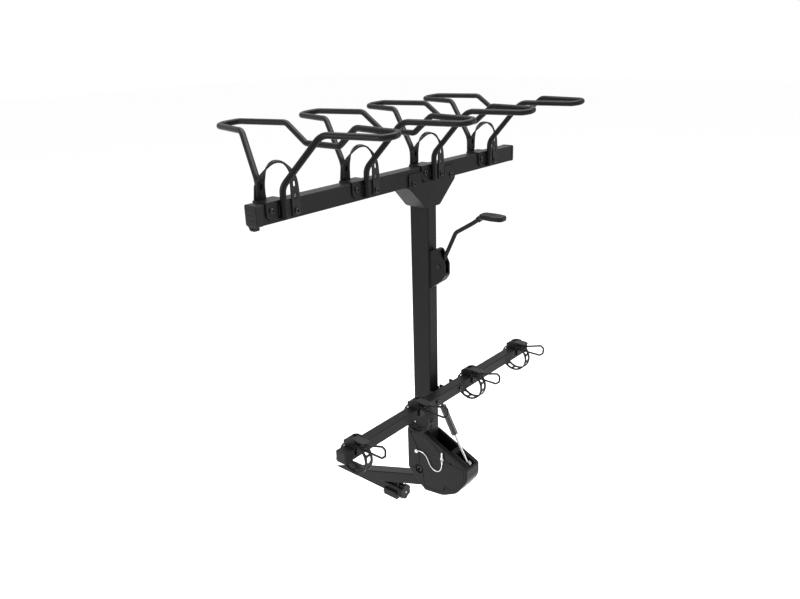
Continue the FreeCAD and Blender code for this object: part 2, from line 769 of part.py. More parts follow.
# ---------------------------------------------------------------- mast and what is fixed to it


def make_mast():
    """Upright rectangular tube that turns on the pivot bolt."""
    half = v.mast_width / 2
    deep = v.mast_depth / 2
    body = new_body("mast")
    section = new_sketch(body, "XY_Plane", "mast_section", v.pivot_height - v.mast_tail)
    add_rectangle(section, (-half, mast_y - deep), (half, mast_y + deep))
    add_rectangle(section, (v.mast_wall - half, mast_rear + v.mast_wall),
                  (half - v.mast_wall, mast_front - v.mast_wall))
    pad(body, section, v.mast_top - v.pivot_height + v.mast_tail)
    round_edges(body, Z, 4, 900)
    side = new_sketch(body, "YZ_Plane", "mast_side_holes")
    add_circle(side, (mast_y + v.pivot_offset, v.pivot_height), v.pivot_radius + v.running_fit)
    slot_low = v.pivot_height + LATCH_REACH - 5.6
    add_rectangle(side, (mast_y + v.pivot_offset - 5.6, slot_low),
                  (mast_y + v.pivot_offset + 5.6, slot_low + 26.5))
    pocket_through(body, side)
    crank = new_sketch(body, "XZ_Plane", "crank_slot", v.mast_setback)
    add_rectangle(crank, (-4, 858), (4, 898))
    step = body.newObject("PartDesign::Pocket", "crank_pocket")
    step.Profile = crank
    step.Type = "ThroughAll"
    step.Reversed = True
    body.Tip = step
    return body


def make_pivot_bushings():
    """Washers that keep the mast central between the side plates."""
    shapes = []
    for side in (-1, 1):
        inner = side * (float(v.mast_width) / 2 + 0.02)
        outer = side * (float(plate_inner) - float(v.face_gap))
        ring = cylinder(14, V(inner, pivot.y, pivot.z), V(outer, pivot.y, pivot.z))
        hole = cylinder(v.pivot_radius + v.running_fit, V(-40, pivot.y, pivot.z), V(40, pivot.y, pivot.z))
        shapes.append(ring.cut(hole))
    return group("pivot_bushings", shapes)


HEAD_BOLTS = [(-90, v.beam_base + 8.5), (90, v.beam_base + 8.5)]


def make_head_bracket():
    """Folded gusset box that carries the upper beam on top of the mast."""
    thick = float(v.saddle_thickness)
    rear, front = float(mast_rear), float(mast_front)
    half = float(v.mast_width) / 2 + 0.2
    shelf = float(v.beam_base) - 0.02
    lip, knee, foot = shelf + 37.5, shelf - 4.5, shelf - 73.5
    outline = [(-110, lip, 8), (-110, knee, 10), (-33, foot, 14), (33, foot, 14), (110, knee, 10),
               (110, lip, 8)]
    rear_plate = slab_y(outline, rear - thick, rear - 0.02)
    low_outline = [(-100, shelf, 0), (-100, knee, 0), (-33, foot, 14), (33, foot, 14), (100, knee, 0),
                   (100, shelf, 0)]
    front_plate = slab_y(low_outline, front + 0.02, front + thick)
    top = block((-106, rear - 0.5, shelf - thick), (106, front + thick, shelf))
    walls = []
    for side in (-1, 1):
        corners = [(side * 100, knee, 0), (side * 33, foot, 0), (side * 30, foot + 4, 0), (side * 96, knee + 4, 0)]
        walls.append(slab_y(corners, rear - 0.5, front + 0.5))
    ear = slab_y([(-106, shelf - thick, 0), (106, shelf - thick, 0), (106, lip - 4, 8), (-106, lip - 4, 8)],
                 float(beam_front) + 0.2, float(beam_front) + thick)
    shape = rear_plate.fuse([front_plate, top, ear] + walls)
    mast_room = block((-half, rear - 0.02, foot - 60), (half, front + 0.02, shelf - thick))
    recess = block((float(wheel_planes[2]) + SADDLE_LEFT - 1, rear - 20, float(v.beam_base) + 6),
                   (float(wheel_planes[2]) + STRAP_BOLT[0] + float(v.strap_width) / 2 + 2, front + 20, shelf + 160))
    shape = shape.cut(mast_room).cut(recess)
    for x, z in HEAD_BOLTS:
        shape = shape.cut(cylinder(bolt_hole, V(x, rear - 20, float(z)), V(x, front + 20, float(z))))
    return feature("head_bracket", shape)


def make_head_bolts():
    thick = float(v.saddle_thickness)
    shapes = [through_bolt(V(x, float(mast_rear) - thick - 0.02, float(z)),
                           V(x, float(beam_front) + thick + 0.02, float(z)), float(v.bolt_m8))
              for x, z in HEAD_BOLTS]
    return group("head_bolts", shapes)


SADDLE_LEFT, SADDLE_RIGHT = -114.0, -51.0
SADDLE_BOLT = (-97.5, v.beam_base + 32.5)
STRAP_BOLT = (-20.0, v.beam_base + 18.5)


def beam_bolt_spots():
    """Places in X and Z of every bolt that crosses the upper beam, as sizes that follow the sheet."""
    spots = [(x, z) for x, z in HEAD_BOLTS]
    for plane in wheel_planes:
        spots += [(plane + SADDLE_BOLT[0], SADDLE_BOLT[1]), (plane + STRAP_BOLT[0], STRAP_BOLT[1])]
    return spots


def make_upper_beam():
    """Square-edged tube that carries the wheel cradles."""
    body = new_body("upper_beam")
    section = new_sketch(body, "YZ_Plane", "beam_section", -v.beam_left)
    add_rectangle(section, (beam_rear, v.beam_base), (beam_front, beam_top))
    add_rectangle(section, (beam_rear + v.beam_wall, v.beam_base + v.beam_wall),
                  (beam_front - v.beam_wall, beam_top - v.beam_wall))
    pad(body, section, v.beam_left + v.beam_right)
    round_edges(body, X, 3, 900)
    holes = new_sketch(body, "XZ_Plane", "beam_bolt_holes", v.mast_setback)
    for x, z in beam_bolt_spots():
        add_circle(holes, (x, z), bolt_hole)
    pocket_through(body, holes)
    return body


def make_beam_caps():
    """Moulded end caps; the left one carries a small hook-shaped tab."""
    low, high = float(v.beam_base), float(beam_top)
    rear, front = float(beam_rear), float(beam_front)
    wall = float(v.beam_wall) + 0.3
    shapes = []
    for side, end in ((-1, -float(v.beam_left)), (1, float(v.beam_right))):
        outer = end + side * float(v.hook_cap if side < 0 else v.cap_thickness)
        a, b = min(end + side * 0.02, outer), max(end + side * 0.02, outer)
        cover = slab_x([(rear - 1, low - 1, 5), (front + 1, low - 1, 5), (front + 1, high + 1, 5),
                        (rear - 1, high + 1, 5)], a, b)
        rim = [e for e in cover.Edges if abs(e.CenterOfMass.x - outer) < 0.01]
        cover = cover.makeFillet(2.5, rim)
        inner_end = end - side * 18
        core = block((min(end - side * 2, inner_end - side), rear + wall + 3, low + wall + 3),
                     (max(end - side * 2, inner_end - side), front - wall - 3, high - wall - 3))
        plug = slab_x([(rear + wall, low + wall, 4), (front - wall, low + wall, 4), (front - wall, high - wall, 4),
                       (rear + wall, high - wall, 4)], min(end + side, inner_end), max(end + side, inner_end)).cut(core)
        shape = cover.fuse(plug)
        if side < 0:
            tab = slab_x([(rear + 11, low + 2, 0), (rear + 11, low - 12, 3), (rear + 30, low - 12, 5),
                          (front - 2, low + 2, 0)], a + 3, b - 3)
            notch = cylinder(2.8, V(a - 1, rear + 20, low - 6.5), V(b + 1, rear + 20, low - 6.5))
            shape = shape.fuse(tab.cut(notch))
        shapes.append(shape)
    return group("beam_end_caps", shapes)


# ---------------------------------------------------------------- wheel cradles


REAR_FOOT, FRONT_FOOT = -67.0, -86.0
HOOP_BENDS = [40, 34, 25, 19, 26, 22, 22, 26, 24, 26, 34, 40]


def hoop_points(plane):
    """Corners of one cradle tube, from its rear foot round to its front foot; both ends taper."""
    middle_x, middle_y = plane + float(v.hoop_offset), (float(beam_rear) + float(beam_front)) / 2 + 2
    near, far = middle_x - float(v.hoop_width) / 2, middle_x + float(v.hoop_width) / 2
    reach = float(v.hoop_reach)
    low = float(v.beam_base) + 8
    rail = float(v.beam_base) + float(v.hoop_rise)
    thick = float(v.saddle_thickness)
    foot_rear = float(beam_rear) - thick - 0.32 - float(v.hoop_radius)
    foot_front = float(beam_front) + thick + 0.32 + float(v.hoop_radius)
    rear_x, front_x = plane + REAR_FOOT, plane + FRONT_FOOT
    return [V(rear_x, foot_rear, low), V(rear_x, foot_rear, low + 76),
            V(near + 17, middle_y - 104, rail), V(near + 49, middle_y - reach + 30, rail),
            V(far - 27, middle_y - reach - 12, rail + 7), V(far, middle_y - 124, rail + 7),
            V(far, middle_y - 65, rail - 41), V(far, middle_y + 53, rail - 41),
            V(far, middle_y + 124, rail + 7), V(far - 39, middle_y + reach - 27, rail + 7),
            V(near + 20, middle_y + reach + 5, rail), V(near - 21, middle_y + 138, rail),
            V(front_x, foot_front, low + 86), V(front_x, foot_front, low)]


def make_hoop(number, plane):
    """One wheel cradle, bent from a single round tube."""
    return feature(f"cradle_hoop_{number}", bent_tube(hoop_points(plane), HOOP_BENDS, v.hoop_radius))


def make_saddle(number, plane):
    """Folded plate over the beam that carries a cradle's two feet and the strap's bolts."""
    thick = float(v.saddle_thickness)
    left, right = plane + SADDLE_LEFT, plane + SADDLE_RIGHT
    rear, front = float(beam_rear) - 0.3, float(beam_front) + 0.3
    top = float(beam_top) + 0.02
    low = float(v.beam_base) + 7
    cheek = [(left, low + 12, 6), (left + 14, low, 8), (right - 14, low, 8), (right, low + 12, 6),
             (right, top + thick, 0), (left, top + thick, 0)]
    rear_cheek = slab_y(cheek, rear - thick, rear)
    front_cheek = slab_y(cheek, front, front + thick)
    roof = block((left, rear - thick, top), (right, front + thick, top + thick))
    folds = [e for e in roof.Edges if e.Length > right - left - 1 and e.CenterOfMass.z > top + 1]
    shape = roof.makeFillet(3, folds).fuse([rear_cheek, front_cheek])
    tower = [(plane - 111, top - 4, 0), (plane - 73, top - 4, 0), (plane - 79, top + 42, 8),
             (plane - 105, top + 42, 8)]
    shape = shape.fuse(slab_y(tower, front, front + thick))
    hole = [(plane - 96, top + 11, 3.9), (plane - 88, top + 11, 3.9), (plane - 88, top + 25, 3.9),
            (plane - 96, top + 25, 3.9)]
    shape = shape.cut(slab_y(hole, front - 2, front + thick + 2))
    x, z = plane + SADDLE_BOLT[0], float(SADDLE_BOLT[1])
    shape = shape.cut(cylinder(bolt_hole, V(x, rear - 20, z), V(x, rear + 1, z)))
    return feature(f"cradle_saddle_{number}", shape)


def make_cradle_bolts():
    """A short saddle bolt with its nut inside the beam, and a through bolt for the strap, at each cradle."""
    thick = float(v.saddle_thickness)
    strap = float(v.strap_thickness)
    radius = float(v.bolt_m8)
    rear, front = float(beam_rear), float(beam_front)
    inside = rear + float(v.beam_wall) + 0.02
    shapes = []
    for plane in wheel_planes:
        x, z = float(plane) + SADDLE_BOLT[0], float(SADDLE_BOLT[1])
        shapes.append(through_bolt(V(x, rear - 0.32 - thick, z), V(x, inside, z), radius))
        x, z = float(plane) + STRAP_BOLT[0], float(STRAP_BOLT[1])
        shapes.append(through_bolt(V(x, rear - strap - 0.2, z), V(x, front + 0.02, z), radius))
    return group("cradle_bolts", shapes)


def ribbon(points, turns, width, thickness, count=34):
    """A flat strap lofted along a path; each turn is the width's direction in plan, in degrees."""
    spots = path_wire(points, eased_radii(points)).discretize(Number=count)
    reach = [0.0]
    for before, here in zip(points, points[1:]):
        reach.append(reach[-1] + (here - before).Length)
    sections, frames = [], []
    for i, spot in enumerate(spots):
        done = reach[-1] * i / (count - 1)
        k = max(n for n in range(len(points) - 1) if reach[n] <= done + 1e-6)
        share = (done - reach[k]) / (reach[k + 1] - reach[k])
        turn = radians(turns[k] + (turns[k + 1] - turns[k]) * share)
        way = (spots[min(i + 1, count - 1)] - spots[max(i - 1, 0)]).normalize()
        side = V(cos(turn), sin(turn), 0)
        side = (side - way * side.dot(way)).normalize()
        face = way.cross(side)
        ring = [spot + side * (a * width / 2) + face * (b * thickness / 2)
                for a, b in ((-1, -1), (1, -1), (1, 1), (-1, 1))]
        sections.append(Part.makePolygon(ring + ring[:1]))
        frames.append((spot, way, side, face))
    return Part.makeLoft(sections, True, True), frames


def oval(centre, along_way, across_way, half_length, half_width, normal, depth):
    """A round-ended hole through a strap."""
    corners = [(centre - normal * depth + along_way * a + across_way * b, half_width * 0.99) for a, b in
               ((-half_length, -half_width), (half_length, -half_width), (half_length, half_width),
                (-half_length, half_width))]
    return Part.Face(rounded_wire(corners)).extrude(normal * (2 * depth))


STRAP_ROUTE = [(-20, 7.5, 0), (-20, 36.5, 0), (-20.3, 64.5, 0), (-22, 91.5, 8), (-30, 117.5, 36),
               (-48, 140.5, 60), (-67, 142.5, 62), (-80, 127.5, 48), (-88, 109.5, 18), (-92, 90.5, 0),
               (-92, 60.5, 0)]
STRAP_DEPTHS = [0, -0.05, -0.2, -0.6, -2, 5, 16, 27, 34, 0, 0]


def make_front_straps():
    """Perforated rubber straps, from the beam's rear face over to each saddle's upright tower."""
    thick = float(v.strap_thickness)
    width = float(v.strap_width)
    start = float(beam_rear) - 0.02 - thick / 2
    end = float(beam_front) - 0.3 - thick / 2
    depths = [start + d for d in STRAP_DEPTHS[:-2]] + [end, end]
    shapes = []
    for plane in wheel_planes:
        points = [V(float(plane) + x, y, float(v.beam_base) + z) for (x, z, _), y in zip(STRAP_ROUTE, depths)]
        turns = [turn for _, _, turn in STRAP_ROUTE]
        strap, frames = ribbon(points, turns, width, thick)
        for i in range(6, len(frames) - 3, 4):
            spot, way, side, face = frames[i]
            strap = strap.cut(oval(spot, way, side, 7.5, 5, face, 8))
        bolt = V(float(plane) + STRAP_BOLT[0], start, float(STRAP_BOLT[1]))
        strap = strap.cut(cylinder(bolt_hole, bolt - Y * 10, bolt + Y * 10))
        shapes.append(strap)
    return group("front_wheel_straps", shapes)


# ---------------------------------------------------------------- lower bar and wheel clamps

BAR_BOLTS = [-61.0, 61.0]


def make_lower_bar():
    """Square tube that the rear wheels are tied to."""
    body = new_body("lower_bar")
    section = new_sketch(body, "YZ_Plane", "bar_section", -v.bar_half_length)
    add_rectangle(section, (bar_rear, bar_low), (bar_front, bar_high))
    add_rectangle(section, (bar_rear + v.bar_wall, bar_low + v.bar_wall),
                  (bar_front - v.bar_wall, bar_high - v.bar_wall))
    pad(body, section, v.bar_half_length * 2)
    round_edges(body, X, 2.5, 900)
    holes = new_sketch(body, "XZ_Plane", "bar_bolt_holes", v.mast_setback)
    for x in BAR_BOLTS:
        add_circle(holes, (x, v.bar_height), bolt_hole)
    pocket_through(body, holes)
    return body


def make_bar_caps():
    low, high, rear, front = (float(s) for s in (bar_low, bar_high, bar_rear, bar_front))
    wall = float(v.bar_wall) + 0.3
    shapes = []
    for side in (-1, 1):
        end = side * float(v.bar_half_length)
        outer = end + side * 7
        a, b = min(end + side * 0.02, outer), max(end + side * 0.02, outer)
        cover = slab_x([(rear - 0.6, low - 0.6, 4), (front + 0.6, low - 0.6, 4),
                        (front + 0.6, high + 0.6, 4), (rear - 0.6, high + 0.6, 4)], a, b)
        rim = [e for e in cover.Edges if abs(e.CenterOfMass.x - outer) < 0.01]
        inner = end - side * 14
        plug = slab_x([(rear + wall, low + wall, 3), (front - wall, low + wall, 3), (front - wall, high - wall, 3),
                       (rear + wall, high - wall, 3)], min(end + side, inner), max(end + side, inner))
        shapes.append(cover.makeFillet(2, rim).fuse(plug))
    return group("lower_bar_caps", shapes)


def make_bar_bracket():
    """Open-topped tray, welded to the mast, that the lower bar bolts to."""
    back, face = float(mast_rear) - 0.02, float(bar_front) + 0.02
    low, high = float(bar_low) + 2, float(v.bar_height) + 8
    outer = block((-82, face, low), (82, back, high))
    inner = block((-79, face + 4, low + 4), (79, back + 1, high + 1))
    shape = outer.cut(inner)
    web = block((-30, face + 3.5, low), (-26, back, high)).fuse(block((26, face + 3.5, low), (30, back, high)))
    shape = shape.fuse(web)
    for x in BAR_BOLTS:
        shape = shape.cut(cylinder(bolt_hole, V(x, face - 5, float(v.bar_height)), V(x, back + 5, float(v.bar_height))))
    return feature("lower_bar_bracket", shape)


def make_bar_bolts():
    shapes = []
    for x in BAR_BOLTS:
        head = V(x, float(bar_rear) - 0.02, float(v.bar_height))
        shapes.append(through_bolt(head, V(x, float(bar_front) + 4.06, float(v.bar_height)), float(v.bolt_m8)))
    return group("lower_bar_bolts", shapes)


def ring_centre():
    """Centre of a strap ring in Y and Z: it hangs round the lower bar."""
    return float(bar_rear) + 8, float(v.bar_height) - 16


def make_rear_strap(number, plane):
    """Perforated rubber strap, closed into a ring round the lower bar."""
    y, z = ring_centre()
    inner = float(v.ring_radius) - float(v.strap_thickness) / 2
    outer = float(v.ring_radius) + float(v.strap_thickness) / 2
    half = float(v.strap_width) / 2 + 2
    ring = cylinder(outer, V(plane - half, y, z), V(plane + half, y, z))
    ring = ring.cut(cylinder(inner, V(plane - half - 1, y, z), V(plane + half + 1, y, z)))
    for k in range(12):
        if k == 3:
            continue
        angle = radians(30 * k + 5)
        way, side = V(0, -cos(angle), sin(angle)), V(0, sin(angle), cos(angle))
        length, width = 9.8, 8.0
        centre = V(plane, y, z) + way * (inner - 6)
        corners = [(centre + side * a + X * b, 6.5) for a, b in
                   ((-length, -width), (length, -width), (length, width), (-length, width))]
        window = Part.Face(rounded_wire(corners)).extrude(way * 18)
        ring = ring.cut(window)
    return feature(f"rear_strap_{number}", ring)


def make_clamp_base(number, plane):
    """Moulded buckle block on top of the bar, with cheeks beside the strap and the lever's ears."""
    y, z = ring_centre()
    half = float(v.strap_width) / 2 + 2
    cheek = half + 4.3
    rear, front = float(bar_rear), float(bar_front)
    low = float(bar_high) + 0.02
    inner = float(v.ring_radius) - float(v.strap_thickness) / 2 - 0.3
    outer = float(v.ring_radius) + float(v.strap_thickness) / 2 + 0.3
    top = z + outer + 9.7
    body_outline = [(rear - 4, low, 2), (front + 2, low, 2), (front + 2, low + 18, 6), (rear + 17, top, 4),
                    (rear - 4, top, 4)]
    shape = slab_x(body_outline, plane - cheek, plane + cheek)
    room = cylinder(outer, V(plane - half - 0.3, y, z), V(plane + half + 0.3, y, z))
    keep = cylinder(inner, V(plane - half - 1, y, z), V(plane + half + 1, y, z))
    shape = shape.cut(room.cut(keep))
    swing_room = block((plane - half - 0.3, rear - 20, z + outer - 0.1), (plane + half + 0.3, front + 10, z + 90))
    shape = shape.cut(swing_room)
    hinge = V(plane, *buckle_hinge())
    bore = cylinder(2.3, hinge - X * (cheek + 1), hinge + X * (cheek + 1))
    shape = shape.cut(bore)
    nose = block((plane - 10, rear - 5, float(v.bar_height) - 8), (plane + 10, rear - 0.02, low + 8))
    return shape.fuse(nose)


def buckle_hinge():
    """The pin of a clamp's lever in Y and Z."""
    return float(bar_rear) + 7, ring_centre()[1] + float(v.ring_radius) + 8


def make_clamp_bases():
    return group("clamp_bases", [largest(make_clamp_base(i, float(p))) for i, p in enumerate(clamp_planes, 1)])


def largest(shape):
    return max(shape.Solids, key=lambda solid: solid.Volume)


def make_buckle(number, plane):
    """Flat release lever of one wheel strap; it flips up about its pin."""
    hinge_y, hinge_z = buckle_hinge()
    half = float(v.strap_width) / 2 + 1.6
    plate = slab_z([(plane - half + 2, hinge_y + 4, 2), (plane + half - 2, hinge_y + 4, 2),
                    (plane + half - 2, hinge_y - 42, 5), (plane - half + 2, hinge_y - 42, 5)],
                   hinge_z - 2, hinge_z + 2.4)
    knuckle = cylinder(3.6, V(plane - half + 2, hinge_y, hinge_z), V(plane + half - 2, hinge_y, hinge_z))
    cheek = float(v.strap_width) / 2 + 6.3
    pin = cylinder(2.25, V(plane - cheek, hinge_y, hinge_z), V(plane + cheek, hinge_y, hinge_z))
    grip = block((plane - 9, hinge_y - 36, hinge_z + 1.9), (plane + 9, hinge_y - 10, hinge_z + 10))
    dish = cylinder(30, V(plane - 20, hinge_y - 23, hinge_z + 31.4), V(plane + 20, hinge_y - 23, hinge_z + 31.4))
    shape = plate.fuse([knuckle, pin]).cut(grip.common(dish))
    return feature(f"buckle_lever_{number}", shape)


def make_wheel_stays():
    """Bent wire loops that keep a tied wheel off the bar."""
    rear = float(bar_rear) - 6.2
    radius = float(v.stay_radius)
    height = float(v.bar_height)
    shapes = []
    for plane in clamp_planes:
        x = float(plane)
        points = [V(x, rear, height + 25), V(x, rear - 40, height + 36), V(x, rear - 87, height + 50),
                  V(x, rear - 98, height + 44), V(x, rear - 97, height + 24), V(x, rear - 84, height + 13),
                  V(x, rear, height + 13)]
        shapes.append(bent_tube(points, [60, 7, 8, 10, 10], radius))
    return group("wheel_stays", shapes)


# ---------------------------------------------------------------- strut


def along(distance, side=0.0):
    """A point on the strut's axis, measured from its upper pivot."""
    return strut_top + strut_way * distance + X * side


def make_strut_ears():
    """Welded lugs on the mast with the pin that holds the strut's upper end."""
    back = float(mast_rear) - 0.02
    shapes = []
    for side in (-1, 1):
        inner, outer = side * 7.4, side * 11.4
        lug = slab_x([(back, strut_top.z - 14, 0), (back, strut_top.z + 13, 0),
                      (strut_top.y - 9, strut_top.z + 9, 7), (strut_top.y - 9, strut_top.z - 8, 7)],
                     min(inner, outer), max(inner, outer))
        shapes.append(lug)
    plate = block((-14, back - 3, strut_top.z - 18), (14, back, strut_top.z + 12))
    pin = cylinder(4, V(-14, strut_top.y, strut_top.z), V(14, strut_top.y, strut_top.z))
    return feature("strut_lugs", plate.fuse(shapes + [pin]))


def make_strut_cylinder():
    """Gas cylinder with an eye at its upper end and a bored lower end."""
    radius, length = float(v.strut_radius), strut_length
    tube = cylinder(radius, along(15), along(length))
    ends = [e for e in tube.Edges if e.Curve.TypeId == "Part::GeomCircle"]
    tube = tube.makeFillet(2, ends)
    eye = cylinder(8.5, along(0, -7), along(0, 7))
    neck = cylinder(5.5, along(4), along(16))
    bore = cylinder(radius - 2.5, along(21), along(length - 6))
    gland = cylinder(v.rod_radius + v.running_fit, along(length - 8), along(length + 1))
    hole = cylinder(4.05, along(0, -9), along(0, 9))
    return feature("strut_cylinder", tube.fuse([eye, neck]).cut(bore.fuse([gland, hole])))


def make_strut_rod():
    """Piston rod with the eye that sits round the foot pin."""
    span = (strut_foot - strut_top).Length
    length = strut_length
    shaft = cylinder(v.rod_radius, along(length - 14), along(span - 10))
    piston = cylinder(float(v.strut_radius) - 2.5 - float(v.running_fit), along(length - 15), along(length - 7))
    eye = cylinder(11.8, along(span, -6), along(span, 6))
    hole = cylinder(float(v.rod_radius) + 4.2, along(span, -8), along(span, 8))
    return feature("strut_rod", shaft.fuse([piston, eye]).cut(hole))


# ---------------------------------------------------------------- release lever and latch

LEVER_PIVOT = (-68.0, 888.0)
CRANK_TIP = (42.0, -14.0, 5.0)


def make_lever_bracket():
    """Folded housing on the mast that the release lever turns in."""
    y = float(mast_y)
    half = float(v.bracket_half)
    back = float(mast_rear) - 0.02
    outline = [(back, 812, 0), (back, 931, 0), (y - 54, 942, 8), (y - 67, 942, 8), (y - 90, 898, 14),
               (y - 90, 861, 14), (y - 77, 842, 12)]
    shape = slab_x(outline, -half, half)
    rims = [e for e in shape.Edges if abs(abs(e.CenterOfMass.x) - half) < 0.01 and e.CenterOfMass.y < back - 1]
    shape = shape.makeFillet(2, rims)
    hollow = [(back + 1, 822, 0), (back + 1, 927, 0), (y - 54, 938, 6), (y - 65, 938, 6), (y - 86, 897, 11),
              (y - 86, 862, 11), (y - 74, 847, 9)]
    shape = shape.cut(slab_x(hollow, -half + 3, half - 3))
    slot = block((-8.5, y - 120, 868), (8.5, y - 66, 960))
    shape = shape.cut(slot)
    pivot_y, pivot_z = y + LEVER_PIVOT[0], LEVER_PIVOT[1]
    shape = shape.cut(cylinder(4 + float(v.hole_play), V(-30, pivot_y, pivot_z), V(30, pivot_y, pivot_z)))
    return feature("lever_bracket", shape)


def make_lever_pin():
    y = float(mast_y)
    reach = float(v.bracket_half) + 0.02
    start, end = V(-reach, y + LEVER_PIVOT[0], LEVER_PIVOT[1]), V(reach, y + LEVER_PIVOT[0], LEVER_PIVOT[1])
    pin = cylinder(4, start, end)
    return feature("lever_pin", pin.fuse([cylinder(7, start - X * 2.2, start), cylinder(7, end, end + X * 2.2)]))


def lever_points():
    y = float(mast_y)
    return [V(0, y + LEVER_PIVOT[0] - 4, LEVER_PIVOT[1] + 9), V(0, y - 122, 1000), V(0, y - 183, 1037),
            V(0, y - 221, 1064)]


def make_release_lever():
    """Bent tube lever with its hub and the crank that lifts the latch rod."""
    y = float(mast_y)
    points = lever_points()
    tube = bent_tube(points, [26, 60], v.lever_radius)
    pivot_y, pivot_z = y + LEVER_PIVOT[0], LEVER_PIVOT[1]
    hub = cylinder(10, V(-9, pivot_y, pivot_z), V(9, pivot_y, pivot_z))
    spacer = float(v.bracket_half) - 3.4
    hub = hub.fuse(cylinder(5.5, V(-spacer, pivot_y, pivot_z), V(spacer, pivot_y, pivot_z)))
    tip = V(0, pivot_y + CRANK_TIP[0], pivot_z + CRANK_TIP[1])
    crank = slab_x([(pivot_y, pivot_z + 7, 0), (tip.y, tip.z + 3.5, 0), (tip.y, tip.z - 3.5, 0),
                    (pivot_y, pivot_z - 7, 0)], -3, 3)
    crank = crank.fuse(cylinder(CRANK_TIP[2], tip - X * 3, tip + X * 3))
    hole = cylinder(4.05, V(-20, pivot_y, pivot_z), V(20, pivot_y, pivot_z))
    return feature("release_lever", tube.fuse([hub, crank]).cut(hole))


def make_lever_grip():
    """Flat moulded hand pad on the lever's end, with a ribbed palm and a rim."""
    y = float(mast_y)
    start, knee = lever_points()[-1], lever_points()[-2]
    way = (start - knee).normalize()
    sleeve = cylinder(9, start - way * 26, start + way * 4)
    ends = [e for e in sleeve.Edges if e.Curve.TypeId == "Part::GeomCircle"]
    sleeve = sleeve.makeFillet(2.5, ends)
    pad_low, pad_high = 1056.0, 1071.0
    outline = [(-19, y - 212, 12), (-23, y - 255, 20), (-17, y - 290, 14), (17, y - 290, 14),
               (23, y - 255, 20), (19, y - 212, 12)]
    palm = slab_z(outline, pad_low, pad_high)
    rims = [e for e in palm.Edges if e.CenterOfMass.z > pad_high - 0.01 or e.CenterOfMass.z < pad_low + 0.01]
    palm = palm.makeFillet(4.5, rims)
    for k in range(5):
        groove = y - 230 - 11 * k
        palm = palm.cut(cylinder(1.8, V(-13, groove, pad_high + 0.6), V(13, groove, pad_high + 0.6)))
    shape = sleeve.fuse(palm)
    lever = cylinder(float(v.lever_radius) + 0.05, start - way * 30, start + way * 0.3)
    return feature("lever_grip", shape.cut(lever))


def make_latch():
    """Rod inside the mast with the cross bar that lifts in the base's windows."""
    y = float(mast_y)
    rod_y = pivot.y
    low, high = pivot.z + LATCH_REACH, LEVER_PIVOT[1] + CRANK_TIP[1] + CRANK_TIP[2] + 0.4
    tip_y = y + LEVER_PIVOT[0] + CRANK_TIP[0]
    shaft = cylinder(4, V(0, rod_y, low - 2), V(0, rod_y, high + 2))
    bar = cylinder(5, V(-float(plate_outer) + 0.5, rod_y, low), V(float(plate_outer) - 0.5, rod_y, low))
    head = slab_x([(tip_y - 4, high, 0), (rod_y + 4, high, 0), (rod_y + 4, high + 6, 2), (tip_y - 4, high + 6, 2)],
                  -5, 5)
    return feature("latch_rod", shaft.fuse([bar, head]))


# ---------------------------------------------------------------- build

make_receiver_shank()
make_hitch_arm()
make_shank_end_web()
make_wedge()
make_draw_bolt()
make_knob()
make_knob_housing()
make_lock_barrel()
make_snap_pin()
make_side_plates()
for side in (-1, 1):
    make_base_shell(side)
make_shell_screws()
make_rear_cover()
make_pivot_bolt()
make_strut_foot_pin()
make_lanyard()
make_lanyard_ring()
make_lanyard_clip()
make_lanyard_rivets()
make_mast()
make_pivot_bushings()
make_head_bracket()
make_head_bolts()
make_upper_beam()
make_beam_caps()
for number, plane in enumerate(wheel_planes, start=1):
    make_hoop(number, float(plane))
    make_saddle(number, float(plane))
make_cradle_bolts()
make_front_straps()
make_lower_bar()
make_bar_caps()
make_bar_bracket()
make_bar_bolts()
for number, plane in enumerate(clamp_planes, start=1):
    make_rear_strap(number, float(plane))
    make_buckle(number, float(plane))
make_clamp_bases()
make_wheel_stays()
make_strut_ears()
make_strut_cylinder()
make_strut_rod()
make_lever_bracket()
make_lever_pin()
make_release_lever()
make_lever_grip()
make_latch()
doc.recompute()

# ---------------------------------------------------------------- check and export

for item in doc.Objects:
    if "Invalid" in item.State or "Error" in item.State:
        raise RuntimeError(f"{item.Label} failed: {item.State}")

SUB_PARTS = [item for item in doc.Objects
             if item.TypeId in ("PartDesign::Body", "Part::Feature") and not item.InListRecursive]
for item in SUB_PARTS:
    if item.Shape.isNull() or not item.Shape.isValid() or not item.Shape.Solids:
        raise RuntimeError(f"{item.Label} has no valid solid")

os.makedirs("parts", exist_ok=True)
for item in SUB_PARTS:
    item.Shape.exportStep(f"parts/{item.Label}.step")
    size = item.Shape.BoundBox
    print(f"{item.Label}: {len(item.Shape.Solids)} solids, {item.Shape.Volume / 1000:.1f} cm3,"
          f" x {size.XMin:.1f} {size.XMax:.1f} y {size.YMin:.1f} {size.YMax:.1f} z {size.ZMin:.1f} {size.ZMax:.1f}")
print(len(SUB_PARTS), "sub-parts")
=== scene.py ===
# %% [markdown]
# # A hitch bike rack, dressed in Blender
# The rack's metal and plastic parts arrive as a imported frame: every node already has its true
# place and size, in metres. What is left for Blender is how things look: finishes, soft straps
# and the loose cable. The frame is loaded first.

# %% Load the frame
from math import cos, pi, radians, sin, tau

import bmesh
import bpy
from mathutils import Matrix, Vector


